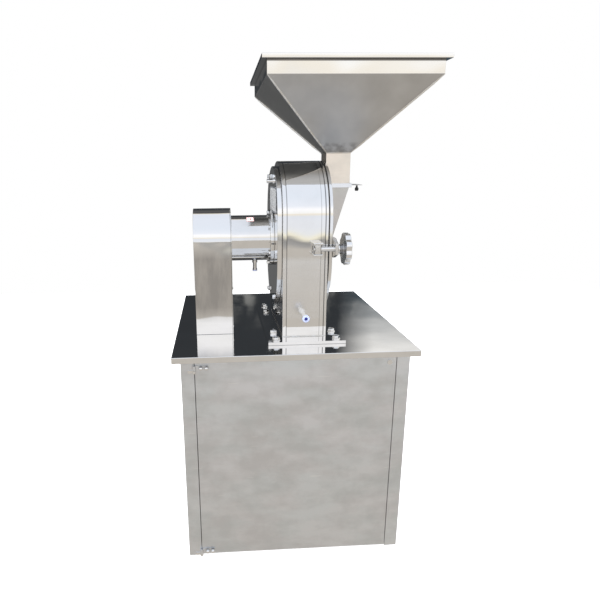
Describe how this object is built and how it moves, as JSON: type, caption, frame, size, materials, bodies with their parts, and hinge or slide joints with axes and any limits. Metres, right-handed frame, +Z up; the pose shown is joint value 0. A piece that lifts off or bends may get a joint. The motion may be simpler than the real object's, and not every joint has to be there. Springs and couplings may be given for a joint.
{
  "type": "hammer mill",
  "caption": "Stainless hammer mill on a cabinet, with a square hopper, slide gate, arched casing with a clamped hinged door, belt guard and a motor inside.",
  "frame": {"origin": "on the floor under the middle of the cabinet, on the floor pan's underside", "axes": "+Z up, -Y the cabinet's front with its door, +X towards the mill's door and hopper"},
  "size_m": [0.6516, 0.6663, 1.249],
  "materials": {
    "polished_steel": "mirror polished stainless steel",
    "satin_steel": "satin stainless sheet",
    "machined_iron": "machined",
    "motor_paint": "semi gloss paint",
    "black_rubber": "matt rubber",
    "black_plastic": "moulded"
  },
  "bodies": {
    "cabinet": {"left_side": "satin_steel", "right_side": "satin_steel", "rear_panel": "satin_steel", "floor_pan": "satin_steel", "table_top": "polished_steel", "hinge_pin_top": "polished_steel", "hinge_pin_bottom": "polished_steel", "motor_base": "machined_iron", "motor_frame": "motor_paint", "fan_cover": "motor_paint", "terminal_box": "motor_paint", "drive_belt_outer": "black_rubber", "drive_belt_inner": "black_rubber", "belt_guard": "polished_steel", "guard_backplate": "polished_steel", "bearing_housing": "polished_steel", "bearing_outer": "machined_iron", "bearing_inner": "machined_iron", "back_plate": "polished_steel", "mill_casing": "polished_steel", "base_flange": "polished_steel", "screen_ring": "satin_steel", "discharge_spout": "satin_steel", "door_gasket": "black_rubber", "hinge_bracket": "polished_steel", "clamp_bracket": "polished_steel", "clamp_nut": "polished_steel", "casing_nipple": "polished_steel", "housing_nipple": "polished_steel", "plate_nipple": "polished_steel", "cable_gland": "black_plastic"},
    "rotor": {"rotor_shaft": "machined_iron", "rotor_disc": "machined_iron", "rotor_nut": "machined_iron", "rotor_pulley": "machined_iron", "hammer_1": "machined_iron", "hammer_2": "machined_iron", "hammer_3": "machined_iron", "hammer_4": "machined_iron"},
    "motor_rotor": {"motor_shaft": "machined_iron", "motor_pulley": "machined_iron"},
    "mill_door": {"mill_door": "polished_steel", "liner_ring": "machined_iron", "feed_chute": "polished_steel", "hopper": "polished_steel", "hopper_neck": "polished_steel", "gate_frame": "polished_steel", "hinge_arm_upper": "polished_steel", "hinge_arm_lower": "polished_steel", "clamp_lug": "polished_steel"},
    "slide_gate": {"slide_gate": "polished_steel", "gate_knob": "black_plastic"},
    "clamp_collar": {"clamp_collar": "polished_steel"},
    "handwheel": {"handwheel": "polished_steel", "clamp_screw": "polished_steel"},
    "cabinet_door": {"cabinet_door": "satin_steel", "hinge_leaf_top": "polished_steel", "hinge_leaf_bottom": "polished_steel"},
    "door_latch": {"door_latch": "polished_steel"}
  },
  "joints": [
    {"name": "rotor_spin", "type": "hinge", "parent": "cabinet", "child": "rotor", "pos_m": [0, -0.0696, 0.8265], "axis": [1, 0, 0], "continuous": true},
    {"name": "motor_spin", "type": "hinge", "parent": "cabinet", "child": "motor_rotor", "pos_m": [0, -0.03, 0.1336], "axis": [1, 0, 0], "continuous": true},
    {"name": "mill_door_swing", "type": "hinge", "parent": "cabinet", "child": "mill_door", "pos_m": [0.06, 0.1, 0.8155], "axis": [0, 0, 1], "range_deg": [0, 115]},
    {"name": "gate_slide", "type": "slide", "parent": "mill_door", "child": "slide_gate", "axis": [1, 0, 0], "range_m": [0, 0.06]},
    {"name": "clamp_slide", "type": "slide", "parent": "mill_door", "child": "clamp_collar", "axis": [1, 0, 0], "range_m": [0, 0.02]},
    {"name": "handwheel_turn", "type": "hinge", "parent": "clamp_collar", "child": "handwheel", "pos_m": [0, -0.235, 0.8155], "axis": [1, 0, 0], "range_deg": [0, 1440]},
    {"name": "cabinet_door_swing", "type": "hinge", "parent": "cabinet", "child": "cabinet_door", "pos_m": [-0.252, -0.3153, 0.3], "axis": [0, 0, -1], "range_deg": [0, 110]},
    {"name": "latch_turn", "type": "hinge", "parent": "cabinet_door", "child": "door_latch", "pos_m": [0.2335, -0.311, 0.5425], "axis": [0, -1, 0], "range_deg": [0, 90]}
  ],
  "couplings": [
    {"joint": "motor_spin", "follows": "rotor_spin", "ratio": 0.64286},
    {"joint": "clamp_slide", "follows": "handwheel_turn", "m_per_rad": 0.00079577}
  ]
}
